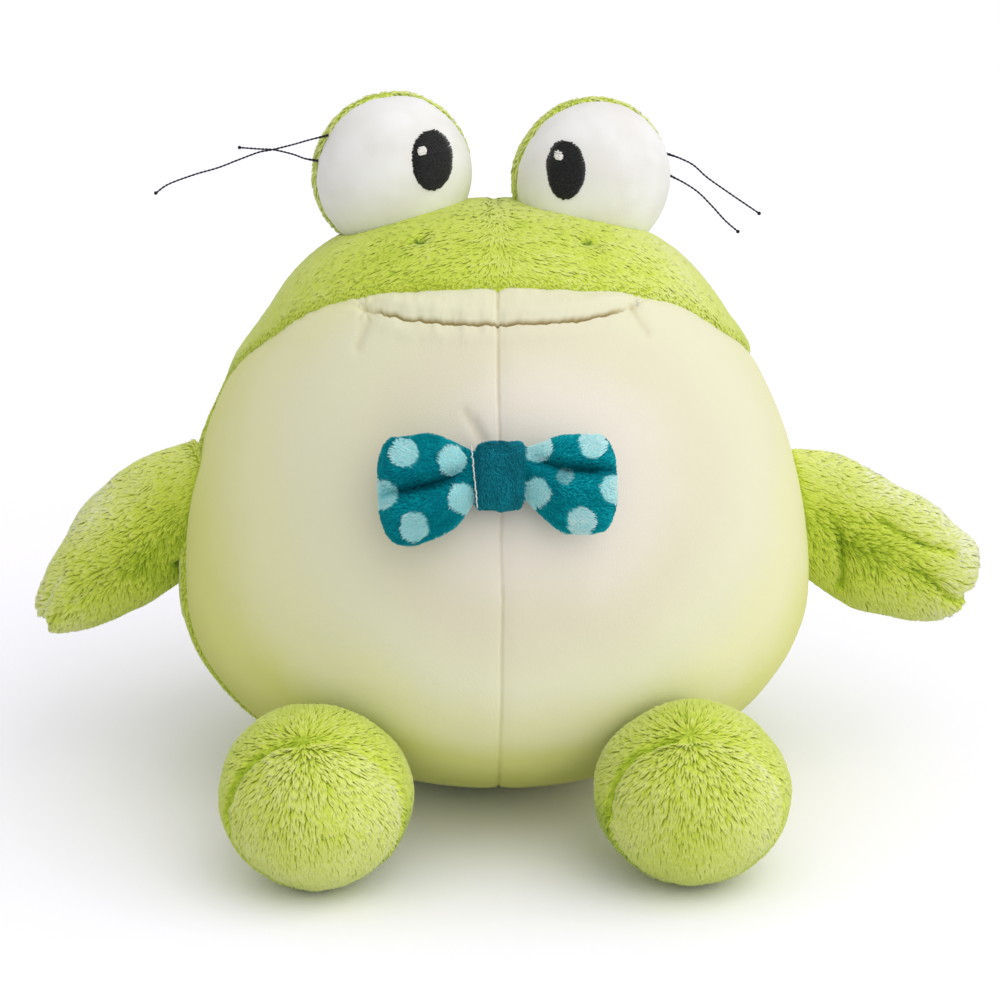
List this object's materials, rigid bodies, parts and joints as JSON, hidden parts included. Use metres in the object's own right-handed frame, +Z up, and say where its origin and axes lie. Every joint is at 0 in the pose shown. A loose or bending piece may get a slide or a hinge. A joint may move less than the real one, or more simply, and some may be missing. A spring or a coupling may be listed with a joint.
{
  "type": "plush frog",
  "caption": "Round stuffed frog with ball eyes, thread lashes, flipper arms, ball feet and a spotted bow tie.",
  "frame": {"origin": "middle of the flat patch under the body, on the surface that the frog sits on", "axes": "+X to the right as seen from the front and across the arms, +Z up, the frog faces -Y"},
  "size_m": [0.2872, 0.1957, 0.2066],
  "materials": {
    "green_plush": "matte",
    "belly_velour": "matte",
    "white_velour": "matte",
    "black_thread": "satin",
    "white_thread": "satin",
    "green_thread": "matte",
    "teal_plush": "matte",
    "pale_teal_plush": "matte",
    "teal_band": "matte",
    "stuffing": "matte",
    "pellet_cloth": "matte"
  },
  "bodies": {
    "body": {"base_panel": "green_plush", "belly_panel_left": "belly_velour", "belly_panel_right": "belly_velour", "back_panel_left": "green_plush", "back_panel_right": "green_plush", "nostril_thread_left": "green_thread", "nostril_thread_right": "green_thread", "pellet_bag": "pellet_cloth", "body_stuffing": "stuffing", "mouth_thread": "white_thread", "eye_front_left": "white_velour", "eye_front_right": "white_velour", "eye_back_left": "green_plush", "eye_back_right": "green_plush", "eye_stuffing_left": "stuffing", "eye_stuffing_right": "stuffing", "eye_pupil_left": "black_thread", "eye_pupil_right": "black_thread", "eye_glint_left": "white_thread", "eye_glint_right": "white_thread", "eye_lash_upper_left": "black_thread", "eye_lash_lower_left": "black_thread", "eye_lash_upper_right": "black_thread", "eye_lash_lower_right": "black_thread", "bow_tack_stitch": "white_thread"},
    "arm_left": {"arm_front_left": "green_plush", "arm_back_left": "green_plush", "arm_stuffing_left": "stuffing", "arm_finger_thread_upper_left": "green_thread", "arm_finger_thread_lower_left": "green_thread"},
    "arm_right": {"arm_front_right": "green_plush", "arm_back_right": "green_plush", "arm_stuffing_right": "stuffing", "arm_finger_thread_upper_right": "green_thread", "arm_finger_thread_lower_right": "green_thread"},
    "foot_left": {"foot_front_left": "green_plush", "foot_back_left": "green_plush", "foot_stuffing_left": "stuffing"},
    "foot_right": {"foot_front_right": "green_plush", "foot_back_right": "green_plush", "foot_stuffing_right": "stuffing"},
    "bow_tie": {"bow_wings": "teal_plush", "bow_band": "teal_band"}
  },
  "joints": [
    {"name": "arm_left_swing", "type": "hinge", "parent": "body", "child": "arm_left", "pos_m": [-0.09436, -0.002, 0.082], "axis": [0.1432, 0, 0.9897], "range_deg": [-20, 30], "stiffness_Nm_per_rad": 0.02},
    {"name": "arm_right_swing", "type": "hinge", "parent": "body", "child": "arm_right", "pos_m": [0.0949, 0.003, 0.078], "axis": [-0.1432, 0, 0.9897], "range_deg": [-30, 20], "stiffness_Nm_per_rad": 0.02},
    {"name": "foot_left_flex", "type": "hinge", "parent": "body", "child": "foot_left", "pos_m": [-0.0535, -0.0673, 0.046], "axis": [-1, 0, 0], "range_deg": [0, 20], "stiffness_Nm_per_rad": 0.03},
    {"name": "foot_right_flex", "type": "hinge", "parent": "body", "child": "foot_right", "pos_m": [0.0535, -0.0673, 0.046], "axis": [-1, 0, 0], "range_deg": [0, 20], "stiffness_Nm_per_rad": 0.03},
    {"name": "bow_tie_swivel", "type": "hinge", "parent": "body", "child": "bow_tie", "pos_m": [-0.001, -0.0803, 0.12036], "axis": [0, 0.9397, -0.342], "range_deg": [-20, 20], "stiffness_Nm_per_rad": 0.005}
  ]
}
